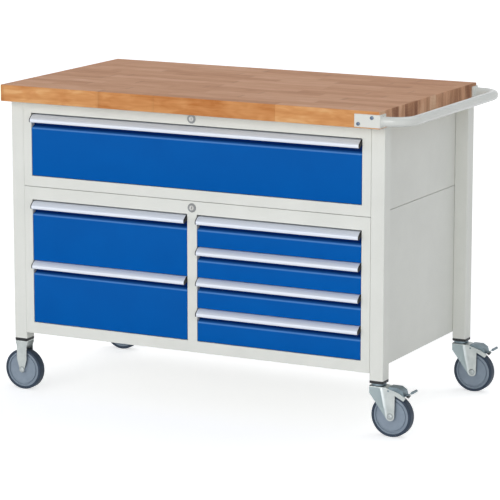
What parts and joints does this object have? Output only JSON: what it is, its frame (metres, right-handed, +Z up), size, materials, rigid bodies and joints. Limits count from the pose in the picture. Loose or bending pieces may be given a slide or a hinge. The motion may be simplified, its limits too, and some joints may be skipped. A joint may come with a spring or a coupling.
{
  "type": "mobile workbench with drawers",
  "caption": "Mobile workbench: thick beech top on square legs, steel cases with sliding drawers, grip strips, cylinder locks, a tubular push handle, fixed and braked swivel casters.",
  "frame": {"origin": "on the floor, under the middle of the overall box", "axes": "+X along the worktop towards the push handle, +Y from the drawer fronts to the back, +Z up"},
  "size_m": [1.38, 0.714, 0.95],
  "materials": {
    "beech": "oiled, sanded",
    "grey_paint": "light grey powder coat",
    "handle_paint": "pale grey powder coat, gloss",
    "blue_paint": "blue powder coat, satin",
    "grip_aluminium": "extruded, anodised",
    "black_plastic": "moulded",
    "zinc_steel": "bright zinc plated",
    "lock_chrome": "nickel plated",
    "rim_plastic": "moulded, blue grey",
    "tyre_rubber": "dark blue grey rubber"
  },
  "bodies": {
    "bench": {"worktop": "beech", "leg_front_left": "grey_paint", "leg_front_right": "grey_paint", "leg_rear_left": "grey_paint", "leg_rear_right": "grey_paint", "leg_plugs": "black_plastic", "upper_case": "grey_paint", "lower_case": "grey_paint", "case_runners": "zinc_steel", "lock_sleeves": "lock_chrome", "push_handle": "handle_paint", "push_handle_brackets": "handle_paint", "bracket_screws": "zinc_steel", "fixed_caster_forks": "zinc_steel", "fixed_caster_axles": "zinc_steel", "swivel_caster_heads": "zinc_steel"},
    "top_drawer": {"top_drawer_tray": "grey_paint", "top_drawer_front": "blue_paint", "top_drawer_grip": "grip_aluminium", "top_drawer_grip_caps": "black_plastic"},
    "left_drawer_1": {"left_drawer_1_tray": "grey_paint", "left_drawer_1_front": "blue_paint", "left_drawer_1_grip": "grip_aluminium", "left_drawer_1_grip_caps": "black_plastic"},
    "left_drawer_2": {"left_drawer_2_tray": "grey_paint", "left_drawer_2_front": "blue_paint", "left_drawer_2_grip": "grip_aluminium", "left_drawer_2_grip_caps": "black_plastic"},
    "right_drawer_1": {"right_drawer_1_tray": "grey_paint", "right_drawer_1_front": "blue_paint", "right_drawer_1_grip": "grip_aluminium", "right_drawer_1_grip_caps": "black_plastic"},
    "right_drawer_2": {"right_drawer_2_tray": "grey_paint", "right_drawer_2_front": "blue_paint", "right_drawer_2_grip": "grip_aluminium", "right_drawer_2_grip_caps": "black_plastic"},
    "right_drawer_3": {"right_drawer_3_tray": "grey_paint", "right_drawer_3_front": "blue_paint", "right_drawer_3_grip": "grip_aluminium", "right_drawer_3_grip_caps": "black_plastic"},
    "right_drawer_4": {"right_drawer_4_tray": "grey_paint", "right_drawer_4_front": "blue_paint", "right_drawer_4_grip": "grip_aluminium", "right_drawer_4_grip_caps": "black_plastic"},
    "upper_lock": {"upper_lock_barrel": "lock_chrome"},
    "lower_lock": {"lower_lock_barrel": "lock_chrome"},
    "front_right_caster": {"front_right_caster_fork": "zinc_steel", "front_right_caster_axle": "zinc_steel"},
    "front_right_brake": {"front_right_brake_pedal": "zinc_steel"},
    "front_right_wheel": {"front_right_wheel_rim": "rim_plastic", "front_right_wheel_tyre": "tyre_rubber"},
    "rear_right_caster": {"rear_right_caster_fork": "zinc_steel", "rear_right_caster_axle": "zinc_steel"},
    "rear_right_brake": {"rear_right_brake_pedal": "zinc_steel"},
    "rear_right_wheel": {"rear_right_wheel_rim": "rim_plastic", "rear_right_wheel_tyre": "tyre_rubber"},
    "front_left_wheel": {"front_left_wheel_rim": "rim_plastic", "front_left_wheel_tyre": "tyre_rubber"},
    "rear_left_wheel": {"rear_left_wheel_rim": "rim_plastic", "rear_left_wheel_tyre": "tyre_rubber"}
  },
  "joints": [
    {"name": "top_drawer_slide", "type": "slide", "parent": "bench", "child": "top_drawer", "axis": [0, -1, 0], "range_m": [0, 0.45]},
    {"name": "left_drawer_1_slide", "type": "slide", "parent": "bench", "child": "left_drawer_1", "axis": [0, -1, 0], "range_m": [0, 0.45]},
    {"name": "left_drawer_2_slide", "type": "slide", "parent": "bench", "child": "left_drawer_2", "axis": [0, -1, 0], "range_m": [0, 0.45]},
    {"name": "right_drawer_1_slide", "type": "slide", "parent": "bench", "child": "right_drawer_1", "axis": [0, -1, 0], "range_m": [0, 0.45]},
    {"name": "right_drawer_2_slide", "type": "slide", "parent": "bench", "child": "right_drawer_2", "axis": [0, -1, 0], "range_m": [0, 0.45]},
    {"name": "right_drawer_3_slide", "type": "slide", "parent": "bench", "child": "right_drawer_3", "axis": [0, -1, 0], "range_m": [0, 0.45]},
    {"name": "right_drawer_4_slide", "type": "slide", "parent": "bench", "child": "right_drawer_4", "axis": [0, -1, 0], "range_m": [0, 0.45]},
    {"name": "upper_lock_turn", "type": "hinge", "parent": "bench", "child": "upper_lock", "pos_m": [-0.029, -0.3, 0.8815], "axis": [0, 1, 0], "range_deg": [0, 90]},
    {"name": "lower_lock_turn", "type": "hinge", "parent": "bench", "child": "lower_lock", "pos_m": [-0.029, -0.3, 0.618], "axis": [0, 1, 0], "range_deg": [0, 90]},
    {"name": "front_right_swivel", "type": "hinge", "parent": "bench", "child": "front_right_caster", "pos_m": [0.5695, -0.2785, 0.145], "axis": [0, 0, 1], "continuous": true},
    {"name": "front_right_brake_press", "type": "hinge", "parent": "front_right_caster", "child": "front_right_brake", "pos_m": [0.6075, -0.2785, 0.137], "axis": [0, 1, 0], "range_deg": [0, 11]},
    {"name": "front_right_wheel_roll", "type": "hinge", "parent": "front_right_caster", "child": "front_right_wheel", "pos_m": [0.6135, -0.2785, 0.0625], "axis": [0, 1, 0], "continuous": true},
    {"name": "rear_right_swivel", "type": "hinge", "parent": "bench", "child": "rear_right_caster", "pos_m": [0.5695, 0.3265, 0.145], "axis": [0, 0, 1], "continuous": true},
    {"name": "rear_right_brake_press", "type": "hinge", "parent": "rear_right_caster", "child": "rear_right_brake", "pos_m": [0.6075, 0.3265, 0.137], "axis": [0, 1, 0], "range_deg": [0, 11]},
    {"name": "rear_right_wheel_roll", "type": "hinge", "parent": "rear_right_caster", "child": "rear_right_wheel", "pos_m": [0.6135, 0.3265, 0.0625], "axis": [0, 1, 0], "continuous": true},
    {"name": "front_left_wheel_roll", "type": "hinge", "parent": "bench", "child": "front_left_wheel", "pos_m": [-0.6275, -0.2785, 0.0625], "axis": [0, 1, 0], "continuous": true},
    {"name": "rear_left_wheel_roll", "type": "hinge", "parent": "bench", "child": "rear_left_wheel", "pos_m": [-0.6275, 0.3265, 0.0625], "axis": [0, 1, 0], "continuous": true}
  ]
}
